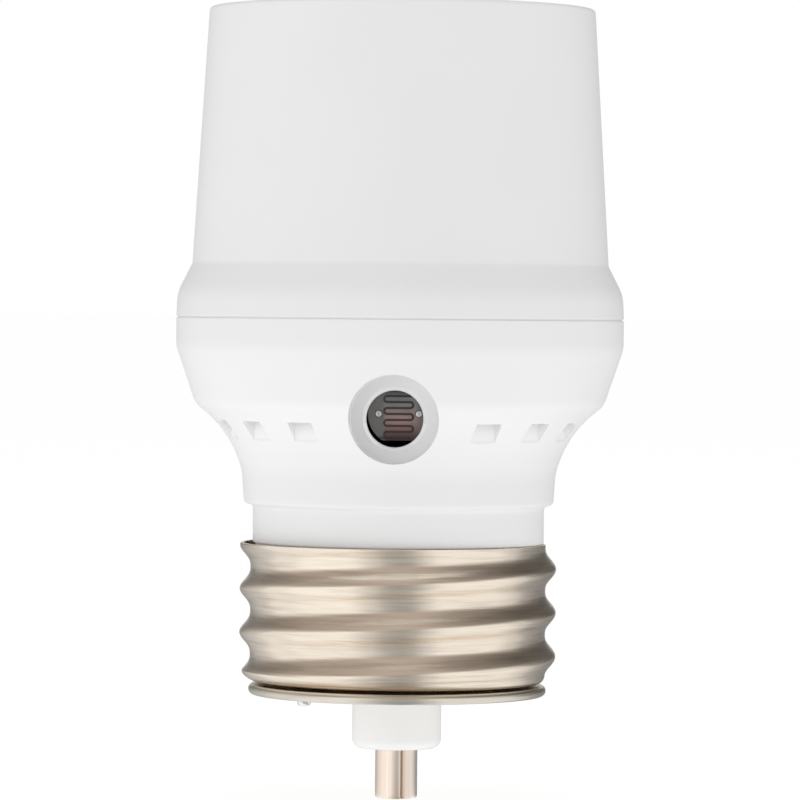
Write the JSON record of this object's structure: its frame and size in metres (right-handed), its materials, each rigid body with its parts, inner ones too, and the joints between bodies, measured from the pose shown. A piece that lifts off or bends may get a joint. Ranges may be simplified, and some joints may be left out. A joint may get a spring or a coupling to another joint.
{
  "type": "photocell switch",
  "caption": "Screw-in photocell lamp adapter: a lamp base and rolled screw shell below, a vented bowl with a light sensor in its side, and a tapered lamp socket cup above.",
  "frame": {"origin": "tip of the centre contact pin, on the screw axis", "axes": "+Z along the screw axis from the contact pin to the lamp socket, -Y out of the sensor port"},
  "size_m": [0.0372, 0.0372, 0.0655],
  "materials": {
    "housing_plastic": "fine moulded satin, white",
    "plated_brass": "rolled and plated, pale champagne, satin",
    "disc_metal": "stamped sheet, plated, dull",
    "solder": "bright solder",
    "pin_brass": "rolled sheet, pale copper tone",
    "cell_ceramic": "ceramic under dark lacquer",
    "cell_film": "metal film under lacquer",
    "cell_track": "sintered light-sensitive layer",
    "tinned_wire": "tinned wire",
    "carrier_plastic": "heat-resistant moulding",
    "rivet_metal": "set rivet",
    "spring_brass": "spring brass strip",
    "board_laminate": "paper laminate board",
    "dark_epoxy": "moulded epoxy",
    "resistor_coat": "tan lacquer coat",
    "can_sleeve": "shrunk sleeve",
    "black_insulation": "wire insulation",
    "white_insulation": "wire insulation",
    "red_insulation": "wire insulation"
  },
  "bodies": {
    "root": {"socket_housing": "housing_plastic", "base_housing": "housing_plastic", "screw_shell": "plated_brass", "lamp_screw_shell": "plated_brass", "end_disc": "disc_metal", "solder_dab": "solder", "contact_pin": "pin_brass", "photocell_body": "cell_ceramic", "photocell_electrodes": "cell_film", "photocell_track": "cell_track", "photocell_leads": "tinned_wire", "socket_carrier": "carrier_plastic", "shell_rivets": "rivet_metal", "centre_contact": "spring_brass", "contact_rivet": "spring_brass", "circuit_board": "board_laminate", "thyristor": "dark_epoxy", "rectifier_diodes": "dark_epoxy", "resistors": "resistor_coat", "capacitor": "can_sleeve", "line_lead": "black_insulation", "neutral_lead": "white_insulation", "switched_lead": "red_insulation"}
  },
  "joints": []
}
